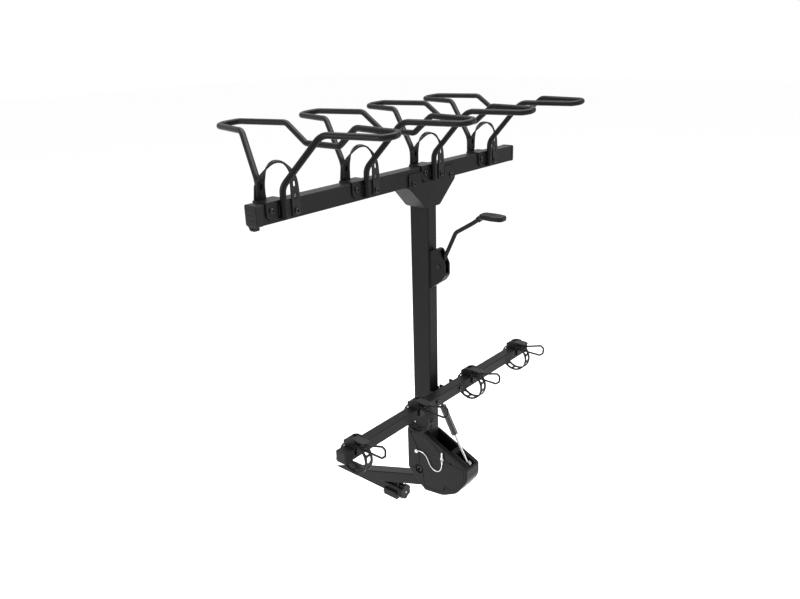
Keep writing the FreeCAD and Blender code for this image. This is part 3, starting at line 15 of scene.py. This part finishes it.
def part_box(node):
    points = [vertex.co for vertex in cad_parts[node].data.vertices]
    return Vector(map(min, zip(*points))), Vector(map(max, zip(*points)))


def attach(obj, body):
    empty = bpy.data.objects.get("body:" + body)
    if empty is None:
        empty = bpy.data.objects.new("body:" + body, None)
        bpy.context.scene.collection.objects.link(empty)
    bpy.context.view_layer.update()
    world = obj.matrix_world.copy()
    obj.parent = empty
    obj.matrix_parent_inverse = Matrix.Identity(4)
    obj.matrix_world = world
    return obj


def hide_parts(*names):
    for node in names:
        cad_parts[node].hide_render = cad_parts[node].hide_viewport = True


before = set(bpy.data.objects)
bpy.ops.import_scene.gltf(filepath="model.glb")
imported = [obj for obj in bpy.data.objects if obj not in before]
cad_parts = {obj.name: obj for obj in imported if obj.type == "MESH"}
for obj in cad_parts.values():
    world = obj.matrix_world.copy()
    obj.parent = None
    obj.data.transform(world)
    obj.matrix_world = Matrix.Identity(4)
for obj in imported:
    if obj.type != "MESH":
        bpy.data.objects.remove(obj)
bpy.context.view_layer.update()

# %% [markdown]
# ## Camera
# A camera is a point, a direction and a lens. Here the three axes of the camera are written out
# as columns of a matrix: right, up and backwards. It could also track an empty, but a written
# matrix never drifts when a piece is moved.

# %% Camera
CAMERA_PLACE = Vector((-1.688, -1.729, 1.555))
CAMERA_RIGHT = Vector((0.64587, -0.76295, -0.02760))
CAMERA_UP = Vector((0.27841, 0.20172, 0.93904))

camera = bpy.data.objects.new("camera", bpy.data.cameras.new("camera"))
camera.data.lens = 32.69
camera.data.sensor_width = 36.0
backwards = CAMERA_RIGHT.cross(CAMERA_UP)
turn = Matrix((CAMERA_RIGHT, CAMERA_UP, backwards)).transposed()
camera.matrix_world = Matrix.Translation(CAMERA_PLACE) @ turn.to_4x4()
bpy.context.collection.objects.link(camera)
bpy.context.scene.camera = camera
print("camera stands", round(CAMERA_PLACE.length, 2), "m from the snap pin")

# %% [markdown]
# ## Studio
# A black object on a pale ground needs large, soft lights: small ones leave hard sparks on
# black paint and nothing between them. A big panel overhead draws the long pale streaks along
# every upper face, and two weaker panels at the sides keep the vertical faces from sinking into
# one flat black.

# %% Floor and lights
FLOOR_DEPTH = -0.55
FLOOR_REACH = 30.0
OVERHEAD_POWER, SIDE_POWER = 190, 60
OVERHEAD_SIZE, SIDE_SIZE = (3.0, 2.4), (1.2, 2.2)


def add_mesh(name, vertices, faces):
    """A new mesh object from plain lists."""
    mesh = bpy.data.meshes.new(name)
    mesh.from_pydata([tuple(v) for v in vertices], [], faces)
    mesh.update()
    piece = bpy.data.objects.new(name, mesh)
    bpy.context.collection.objects.link(piece)
    return piece


corners = [(-FLOOR_REACH, -FLOOR_REACH), (FLOOR_REACH, -FLOOR_REACH),
           (FLOOR_REACH, FLOOR_REACH), (-FLOOR_REACH, FLOOR_REACH)]
floor = add_mesh("floor", [(x, y, FLOOR_DEPTH) for x, y in corners], [(0, 1, 2, 3)])


def add_panel(name, place, target, size, power):
    """A soft rectangular light that faces a target."""
    light = bpy.data.lights.new(name, "AREA")
    light.shape = "RECTANGLE"
    light.size, light.size_y = size
    light.energy = power
    holder = bpy.data.objects.new(name, light)
    holder.location = place
    holder.rotation_euler = (Vector(target) - Vector(place)).to_track_quat("-Z", "Y").to_euler()
    bpy.context.collection.objects.link(holder)
    return holder


add_panel("overhead_panel", (0.2, -0.2, 3.8), (0, -0.4, 0.8), OVERHEAD_SIZE, OVERHEAD_POWER)
add_panel("left_panel", (-3.4, 0.9, 1.4), (0, -0.4, 0.6), SIDE_SIZE, SIDE_POWER)
add_panel("right_panel", (1.4, -3.6, 1.7), (0, -0.4, 0.7), SIDE_SIZE, SIDE_POWER)

world = bpy.data.worlds.new("studio")
world.use_nodes = True
world.node_tree.nodes["Background"].inputs["Color"].default_value = (1, 1, 1, 1)
world.node_tree.nodes["Background"].inputs["Strength"].default_value = 1.0
bpy.context.scene.world = world
bpy.context.scene.view_settings.view_transform = "Standard"

# %% [markdown]
# ## Shader maths as arithmetic
# A finish is a small graph of nodes. Written out node by node it is long and hard to read, so
# one class wraps an output socket and lets `+`, `-`, `*` and `1 - mask` add the Math nodes.
# Everything that isn't plain arithmetic comes from one method, `make`, which takes a node's
# type, its settings and its inputs.

# %% The socket class


class Wire:
    """One output socket of a finish, with arithmetic."""

    def __init__(self, tree, socket):
        self.tree, self.socket = tree, socket

    def make(self, kind, settings=None, inputs=None, output=0):
        return make_node(self.tree, kind, settings, inputs, output)

    def _maths(self, operation, first, second=0.0):
        return self.make("ShaderNodeMath", {"operation": operation}, {0: first, 1: second})

    def __add__(self, other):
        return self._maths("ADD", self, other)

    __radd__ = __add__

    def __sub__(self, other):
        return self._maths("SUBTRACT", self, other)

    def __rsub__(self, other):
        return self._maths("SUBTRACT", other, self)

    def __mul__(self, other):
        return self._maths("MULTIPLY", self, other)

    __rmul__ = __mul__

    def fit(self, low, high, start=0.0, end=1.0):
        """Stretch a range onto another, and keep it inside."""
        return self.make("ShaderNodeMapRange", {"clamp": True},
                         {"Value": self, "From Min": low, "From Max": high,
                          "To Min": start, "To Max": end})

    def tint(self, dark, light):
        """A colour between two, by this share."""
        return self.make("ShaderNodeMix", {"data_type": "RGBA"},
                         {"Factor": self, 6: (*dark, 1), 7: (*light, 1)}, 2)


def make_node(tree, kind, settings=None, inputs=None, output=0):
    """Add a node: its settings come first, then its sockets, which take values or wires."""
    node = tree.nodes.new(kind)
    for name, value in (settings or {}).items():
        setattr(node, name, value)
    for name, value in (inputs or {}).items():
        if isinstance(value, Wire):
            tree.links.new(value.socket, node.inputs[name])
        else:
            node.inputs[name].default_value = value
    return Wire(tree, node.outputs[output])


# %% [markdown]
# ## A finish
# Each finish is one Principled shader. What is the same all over the surface is set on the
# shader's own sockets; what changes from place to place is wired into colour, roughness or a
# bump.

# %% The finish helper


class Finish:
    """A material under construction, with its shader and its object-space coordinates."""

    def __init__(self, name, **uniform):
        self.material = bpy.data.materials.new(name)
        self.material.use_nodes = True
        self.tree = self.material.node_tree
        self.shader = self.tree.nodes["Principled BSDF"]
        for socket, value in uniform.items():
            self.shader.inputs[socket.replace("_", " ")].default_value = value
        self.place = make_node(self.tree, "ShaderNodeTexCoord", output=3)

    def noise(self, scale, detail=2.0, roughness=0.5, stretch=None):
        place = self.place
        if stretch:
            place = self.place.make("ShaderNodeMapping", {"vector_type": "POINT"},
                                    {"Vector": self.place, "Scale": stretch})
        return self.place.make("ShaderNodeTexNoise", {},
                               {"Vector": place, "Scale": scale, "Detail": detail,
                                "Roughness": roughness})

    def cells(self, scale):
        return self.place.make("ShaderNodeTexVoronoi", {"feature": "F1"},
                               {"Vector": self.place, "Scale": scale})

    def upward(self):
        """How far a surface faces the sky, from 0 to 1."""
        normal = make_node(self.tree, "ShaderNodeNewGeometry", output=1)
        parts = make_node(self.tree, "ShaderNodeSeparateXYZ", {}, {0: normal}, 2)
        return parts.fit(0.2, 1.0)

    def wire(self, socket, value):
        self.tree.links.new(value.socket, self.shader.inputs[socket])

    def bump(self, height, distance):
        step = make_node(self.tree, "ShaderNodeBump", {},
                         {"Height": height, "Distance": distance, "Strength": 1.0})
        self.wire("Normal", step)

    def put_on(self, *names):
        """Give this finish to CAD nodes, and to pieces of the same names."""
        for name in names:
            piece = bpy.data.objects[name]
            if piece.material_slots:
                for place in piece.material_slots:
                    place.material = self.material
            else:
                piece.data.materials.append(self.material)


# %% [markdown]
# ## Powder coat
# The tubes and brackets are steel under a satin black powder coat. Powder melts into a skin
# that is smooth from afar and slightly pebbled close by, called orange peel. A fine bump gives
# the pebbles, a broad, weak noise varies the roughness as real coats do, and upward faces are
# painted lighter in patches: a painted highlight where the overhead light falls.

# %% Powder coat
NUMBERS = (1, 2, 3, 4)
HOOPS = [f"cradle_hoop_{i}" for i in NUMBERS]
SADDLES = [f"cradle_saddle_{i}" for i in NUMBERS]
RINGS = [f"rear_strap_{i}" for i in NUMBERS]
BUCKLES = [f"buckle_lever_{i}" for i in NUMBERS]


def powder_coat(name, dark, light, rough, peel):
    coat = Finish(name, Specular_IOR_Level=0.11)
    cloud = coat.noise(9.0, 3.0)
    # Painted highlight: faces that point up are painted lighter in patches, as if lit from
    # above.
    painted_top_light = coat.upward() * coat.noise(40.0, 4.0).fit(0.35, 0.75)
    coat.wire("Base Color", (cloud * 0.6 + painted_top_light * 0.4).tint(dark, light))
    coat.wire("Roughness", rough + (cloud - 0.5) * 0.10 + painted_top_light * 0.05)
    pebbles = coat.noise(900.0, 2.0) * 0.7 + coat.noise(240.0, 1.0) * 0.3
    coat.bump(pebbles, peel)
    return coat


COAT_DARK, COAT_LIGHT = (0.0035, 0.0035, 0.0038), (0.0085, 0.0085, 0.009)
tube_coat = powder_coat("powder_coat_satin", COAT_DARK, COAT_LIGHT, 0.38, 0.00012)
tube_coat.put_on("hitch_arm", "shank_end_plates", "mast", "head_bracket", "upper_beam",
                 "lower_bar", "lower_bar_bracket", "strut_lugs", "latch_rod",
                 "receiver_shank", "base_side_plates", *SADDLES)
hoop_coat = powder_coat("powder_coat_hoops", COAT_DARK, COAT_LIGHT, 0.34, 0.00010)
hoop_coat.put_on("release_lever", "lever_bracket", *HOOPS)
print("powder coats:", tube_coat.material.name, hoop_coat.material.name)

# %% [markdown]
# ## Moulded plastic
# The base shells, the caps, the clamp blocks and the knob are moulded in black nylon with glass
# fibre. A mould's spark-eroded skin prints a fine, even grain: cells at two scales, at a tenth
# of a millimetre.

# %% Moulded plastic


def moulded(name, dark, light, rough, grain):
    plastic = Finish(name, Specular_IOR_Level=0.12)
    flow = plastic.noise(14.0, 2.0, stretch=(1.0, 1.0, 2.5))
    plastic.wire("Base Color", flow.tint(dark, light))
    plastic.wire("Roughness", rough + (flow - 0.5) * 0.12)
    plastic.bump(plastic.cells(1500.0) * 0.6 + plastic.noise(600.0, 2.0) * 0.4, grain)
    return plastic


FINE_GRAIN, COARSE_GRAIN, WORN_GRAIN = 0.00010, 0.00012, 0.00006
shell_plastic = moulded("moulded_shell", (0.003, 0.003, 0.0032), (0.007, 0.007, 0.0075),
                        0.40, FINE_GRAIN)
shell_plastic.put_on("base_shell_left", "base_shell_right", "rear_cover", "knob_housing",
                     "tightening_knob", "pivot_bushings")
cap_plastic = moulded("moulded_cap", (0.004, 0.004, 0.0042), (0.009, 0.009, 0.0095),
                      0.42, FINE_GRAIN)
cap_plastic.put_on("beam_end_caps", "lower_bar_caps", "clamp_bases")
buckle_plastic = moulded("moulded_buckle", (0.012, 0.012, 0.0125), (0.022, 0.022, 0.023),
                         0.44, COARSE_GRAIN)
buckle_plastic.put_on(*BUCKLES)
grip_plastic = moulded("moulded_grip", (0.004, 0.004, 0.0042), (0.010, 0.010, 0.0105),
                       0.26, WORN_GRAIN)
grip_plastic.put_on("lever_grip")

# %% [markdown]
# ## Rubber
# The straps are moulded rubber: duller than the plastic, with a faint bloom that greys it in
# patches.

# %% Rubber
rubber = Finish("strap_rubber", Specular_IOR_Level=0.14)
bloom = rubber.noise(60.0, 4.0)
rubber_grey = bloom.fit(0.3, 0.8).tint((0.006, 0.006, 0.006), (0.014, 0.014, 0.0135))
rubber.wire("Base Color", rubber_grey)
rubber.wire("Roughness", 0.52 + bloom * 0.14)
rubber.bump(rubber.noise(800.0, 3.0), 0.00012)
rubber.put_on("front_wheel_straps", *RINGS)
wire_dip = Finish("dipped_wire", Specular_IOR_Level=0.16)
dip_flow = wire_dip.noise(70.0, 2.0)
wire_dip.wire("Base Color", dip_flow.tint((0.004, 0.004, 0.004), (0.009, 0.009, 0.009)))
wire_dip.wire("Roughness", 0.30 + dip_flow * 0.1)
wire_dip.bump(dip_flow, 0.0002)
wire_dip.put_on("wheel_stays")

# %% [markdown]
# ## Metal
# Bolts are black zinc: dark metal that still mirrors the lights. The wedge, pins and the
# cable's fittings are plain zinc, which is paler and a little cloudy. The lock barrel is the
# only chrome.

# %% Metal


def metal(name, dark, light, rough, metallic, scale=50.0, stretch=None):
    plate = Finish(name, Metallic=metallic)
    streak = plate.noise(scale, 4.0, 0.6, stretch)
    plate.wire("Base Color", streak.tint(dark, light))
    plate.wire("Roughness", rough + (streak - 0.5) * 0.16)
    plate.bump(streak, 0.00006)
    return plate


black_zinc = metal("black_zinc", (0.012, 0.012, 0.013), (0.032, 0.032, 0.034), 0.24, 0.85)
black_zinc.put_on("head_bolts", "cradle_bolts", "lower_bar_bolts", "shell_screws",
                  "mast_pivot_bolt", "lever_pin", "strut_foot_pin")
zinc = metal("bright_zinc", (0.50, 0.50, 0.51), (0.72, 0.72, 0.73), 0.34, 1.0)
zinc.put_on("anti_wobble_wedge", "draw_bolt", "snap_pin", "lanyard_ring", "lanyard_clip",
            "lanyard_rivets", "lanyard_cable")
chrome = metal("bright_chrome", (0.70, 0.70, 0.71), (0.80, 0.80, 0.81), 0.12, 1.0)
chrome.put_on("lock_barrel")
strut_enamel = metal("strut_enamel", (0.014, 0.014, 0.015), (0.022, 0.022, 0.023), 0.22, 0.1)
strut_enamel.put_on("strut_cylinder")
rod_steel = metal("strut_rod_steel", (0.30, 0.30, 0.31), (0.48, 0.48, 0.49), 0.18, 1.0,
                  120.0, (1, 1, 0.1))
rod_steel.put_on("strut_rod")
floor_paint = Finish("floor_paint", Specular_IOR_Level=0.05)
floor_cloud = floor_paint.noise(0.6, 2.0)
floor_paint.wire("Base Color", floor_cloud.tint((0.985, 0.985, 0.985), (0.995, 0.995, 0.995)))
floor_paint.wire("Roughness", 0.75 + floor_cloud * 0.1)
floor_paint.put_on("floor")
print("finishes:", len(bpy.data.materials))

# %% [markdown]
# ## The loose cable
# A thin steel cable in a clear sleeve hangs on the base's left shell. It leaves its ring, sags
# in a bight and comes up again to its crimped clip. It is one NURBS curve through the same
# points as the part's solid tube; a curve with a round bevel stays smooth at any size.

# %% Lanyard cable
LANYARD_X = -0.0396
MAST_Y = -0.374
LANYARD_DIAMETER = 0.0032
LANYARD_ROUTE = [(9.0, 226.5), (0.5, 228.6), (-9.5, 228.2), (-20.0, 224.6), (-29.0, 216.6),
                 (-34.6, 205.4), (-40.2, 193.6), (-49.4, 183.2), (-61.4, 177.2), (-74.6, 177.8),
                 (-85.4, 186.4), (-91.2, 199.6), (-93.0, 213.0)]


# The box that Blender keeps round a curve grows by each knot's radius, which is a metre by
# default, so the knots are thin here and the bevel is deeper to match.
KNOT_RADIUS = 0.01


def nurbs_cord(name, points, radius):
    """A round cord on one NURBS spline."""
    curve = bpy.data.curves.new(name, "CURVE")
    curve.dimensions = "3D"
    curve.bevel_depth = radius / KNOT_RADIUS
    curve.bevel_resolution = 6
    curve.use_fill_caps = True
    spline = curve.splines.new("NURBS")
    spline.points.add(len(points) - 1)
    for knot, place in zip(spline.points, points):
        knot.co = (*place, 1.0)
        knot.radius = KNOT_RADIUS
    spline.order_u = 3
    spline.use_endpoint_u = True
    spline.resolution_u = 12
    piece = bpy.data.objects.new(name, curve)
    bpy.context.collection.objects.link(piece)
    return piece


cable_points = [(LANYARD_X, MAST_Y + a / 1000, b / 1000) for a, b in LANYARD_ROUTE]
cable = nurbs_cord("lanyard_line", cable_points, LANYARD_DIAMETER / 2)
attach(cable, "hitch_base")
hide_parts("lanyard_cable")
cable_finish = metal("sleeved_cable", (0.42, 0.42, 0.43), (0.80, 0.80, 0.80), 0.26, 0.75,
                     900.0)
cable.data.materials.append(cable_finish.material)

# %% [markdown]
# ## Weld beads
# The brackets are welded to the mast, and each cradle's feet to its saddle. A weld bead is a
# row of overlapping drops: a sweep along a line whose radius rises and falls with every drop
# shows that from any side, and a bump map could not, because the bead stands out of the corner
# it fills.

# %% Weld beads
BEAD_SIDES = 10
STEPS_PER_DROP = 6
DROP_LENGTH = 0.004
HEAD_BEAD, TRAY_BEAD, THIN_BEAD = 0.0026, 0.0024, 0.0022


def weld_bead(name, start, end, radius):
    """A rippled bead between two points."""
    start, end = Vector(start), Vector(end)
    way = (end - start).normalized()
    side = way.orthogonal().normalized()
    up = way.cross(side)
    steps = max(int((end - start).length / DROP_LENGTH * STEPS_PER_DROP), 2 * STEPS_PER_DROP)
    corners = [(cos(tau * k / BEAD_SIDES), sin(tau * k / BEAD_SIDES)) for k in range(BEAD_SIDES)]
    mesh = bmesh.new()
    rings = []
    for i in range(steps + 1):
        share = i / steps
        ripple = 0.80 + 0.20 * abs(sin(pi * share * steps / STEPS_PER_DROP))
        taper = min(1.0, 6 * share + 0.15, 6 * (1 - share) + 0.15)
        centre = start.lerp(end, share)
        swell = radius * ripple * taper
        rings.append([mesh.verts.new(centre + (side * a + up * b) * swell) for a, b in corners])
    for low, high in zip(rings, rings[1:]):
        for k in range(BEAD_SIDES):
            after = (k + 1) % BEAD_SIDES
            mesh.faces.new((low[k], low[after], high[after], high[k]))
    mesh.faces.new(list(reversed(rings[0])))
    mesh.faces.new(rings[-1])
    bmesh.ops.recalc_face_normals(mesh, faces=mesh.faces)
    data = bpy.data.meshes.new(name)
    mesh.to_mesh(data)
    mesh.free()
    for face in data.polygons:
        face.use_smooth = True
    piece = bpy.data.objects.new(name, data)
    bpy.context.collection.objects.link(piece)
    piece.data.materials.append(tube_coat.material)
    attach(piece, "mast")
    return piece


def corners_of(node):
    """The lowest and the highest corner of a CAD node's box."""
    return [Vector(corner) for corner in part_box(node)]


def upright_bead(name, x, y, low_z, high_z, radius):
    """A weld bead that runs straight up."""
    return weld_bead(name, (x, y, low_z), (x, y, high_z), radius)


mast_low, mast_high = corners_of("mast")
head_low = corners_of("head_bracket")[0]
housing_low, housing_high = corners_of("lever_bracket")
tray_low, tray_high = corners_of("lower_bar_bracket")
beads = []
for side, edge in (("left", mast_low.x), ("right", mast_high.x)):
    beads.append(upright_bead(f"head_weld_{side}", edge, mast_low.y - 0.002,
                              head_low.z + 0.012, head_low.z + 0.062, HEAD_BEAD))
    beads.append(upright_bead(f"tray_weld_{side}", edge, mast_low.y - 0.0005,
                              tray_low.z + 0.002, tray_high.z - 0.002, TRAY_BEAD))
for side, edge in (("left", housing_low.x), ("right", housing_high.x)):
    beads.append(upright_bead(f"housing_weld_{side}", edge, mast_low.y,
                              housing_low.z + 0.006, housing_high.z - 0.020, THIN_BEAD))
for i in NUMBERS:
    saddle_low, saddle_high = corners_of(f"cradle_saddle_{i}")
    foot_z = corners_of(f"cradle_hoop_{i}")[0].z
    for end, x, y in (("rear", saddle_low.x + 0.039, saddle_low.y),
                      ("front", saddle_low.x + 0.020, saddle_high.y)):
        beads.append(upright_bead(f"foot_weld_{end}_{i}", x, y,
                                  foot_z + 0.006, foot_z + 0.038, THIN_BEAD))
print("weld beads:", len(beads))

# %% [markdown]
# ## Trim on the base shells
# Each moulded shell has a raised rib a few millimetres inside its edge, which stiffens the thin
# wall and catches a line of light. The rib follows the shell's own outline: the rim of the CAD
# shell is read from its mesh, drawn in, and swept as a fine tube.

# %% Shell ribs
RIB_INSET = 0.011
RIB_RADIUS = 0.0014
FACE_DEPTH = 0.0005


def outer_outline(node, x_face, count=96):
    """The outline of a flat side face, as points at even angles round its middle."""
    mesh = bpy.data.objects[node].data
    flat = [vertex.co for vertex in mesh.vertices if abs(vertex.co.x - x_face) < FACE_DEPTH]
    middle_y = (min(p.y for p in flat) + max(p.y for p in flat)) / 2
    middle_z = (min(p.z for p in flat) + max(p.z for p in flat)) / 2
    far = {}
    for p in flat:
        spoke = Vector((p.y - middle_y, p.z - middle_z))
        angle = int((spoke.angle_signed(Vector((1, 0)), 0.0) % tau) / tau * count)
        if spoke.length > far.get(angle, (0,))[0]:
            far[angle] = (spoke.length, p.y, p.z)
    drawn = []
    for reach, y, z in (far[k] for k in sorted(far)):
        inward = Vector((middle_y - y, middle_z - z)).normalized() * RIB_INSET
        drawn.append((x_face, y + inward.x, z + inward.y))
    return drawn


def closed_rib(name, points):
    """A fine round rib on a closed, smoothed line."""
    curve = bpy.data.curves.new(name, "CURVE")
    curve.dimensions = "3D"
    curve.bevel_depth = RIB_RADIUS / KNOT_RADIUS
    curve.bevel_resolution = 3
    spline = curve.splines.new("NURBS")
    spline.points.add(len(points) - 1)
    for knot, place in zip(spline.points, points):
        knot.co = (*place, 1.0)
        knot.radius = KNOT_RADIUS
    spline.use_cyclic_u = True
    spline.order_u = 3
    spline.resolution_u = 6
    piece = bpy.data.objects.new(name, curve)
    bpy.context.collection.objects.link(piece)
    piece.data.materials.append(shell_plastic.material)
    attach(piece, "hitch_base")
    return piece


for side, sign in (("left", 0), ("right", 1)):
    face_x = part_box(f"base_shell_{side}")[sign][0]
    rib_points = outer_outline(f"base_shell_{side}", face_x)
    closed_rib(f"shell_rib_{side}", rib_points)
    print("shell rib", side, len(rib_points), "points")

# %% [markdown]
# ## Ribs on the beam's end caps
# The end caps are thin mouldings, and three shallow ribs across each keep the face flat as it
# cools. They are rounded bars, made as one bevelled mesh for each cap.

# %% End cap ribs


def rounded_bar(mesh, low, high, bevel):
    """A bar with rounded edges, added to a mesh under construction."""
    made = bmesh.ops.create_cube(mesh, size=1.0)["verts"]
    middle = (Vector(low) + Vector(high)) / 2
    size = Vector(high) - Vector(low)
    for vertex in made:
        vertex.co = Vector(c * d for c, d in zip(vertex.co, size)) + middle
    edges = list({edge for vertex in made for edge in vertex.link_edges})
    bmesh.ops.bevel(mesh, geom=edges, offset=bevel, segments=3, affect="EDGES", profile=0.5)


CAP_RIB_STEP = 0.0125
CAP_RIB_RISE = 0.0008
CAP_RIB_HALF = 0.0016
CAP_RIB_INSET = 0.007
CAP_RIB_BEVEL = 0.0006
beam_low, beam_high = corners_of("upper_beam")
caps_low, caps_high = corners_of("beam_end_caps")
for side, x in (("left", caps_low.x), ("right", caps_high.x)):
    ribs = bmesh.new()
    for k in range(3):
        z = beam_low.z + CAP_RIB_STEP + CAP_RIB_STEP * k
        low = (x - CAP_RIB_RISE, beam_low.y + CAP_RIB_INSET, z - CAP_RIB_HALF)
        high = (x + CAP_RIB_RISE, beam_high.y - CAP_RIB_INSET, z + CAP_RIB_HALF)
        rounded_bar(ribs, low, high, CAP_RIB_BEVEL)
    data = bpy.data.meshes.new(f"cap_ribs_{side}")
    ribs.to_mesh(data)
    ribs.free()
    piece = bpy.data.objects.new(f"cap_ribs_{side}", data)
    bpy.context.collection.objects.link(piece)
    piece.data.materials.append(cap_plastic.material)
    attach(piece, "mast")
    print("cap ribs", side)

# %% Finish
bpy.context.view_layer.update()
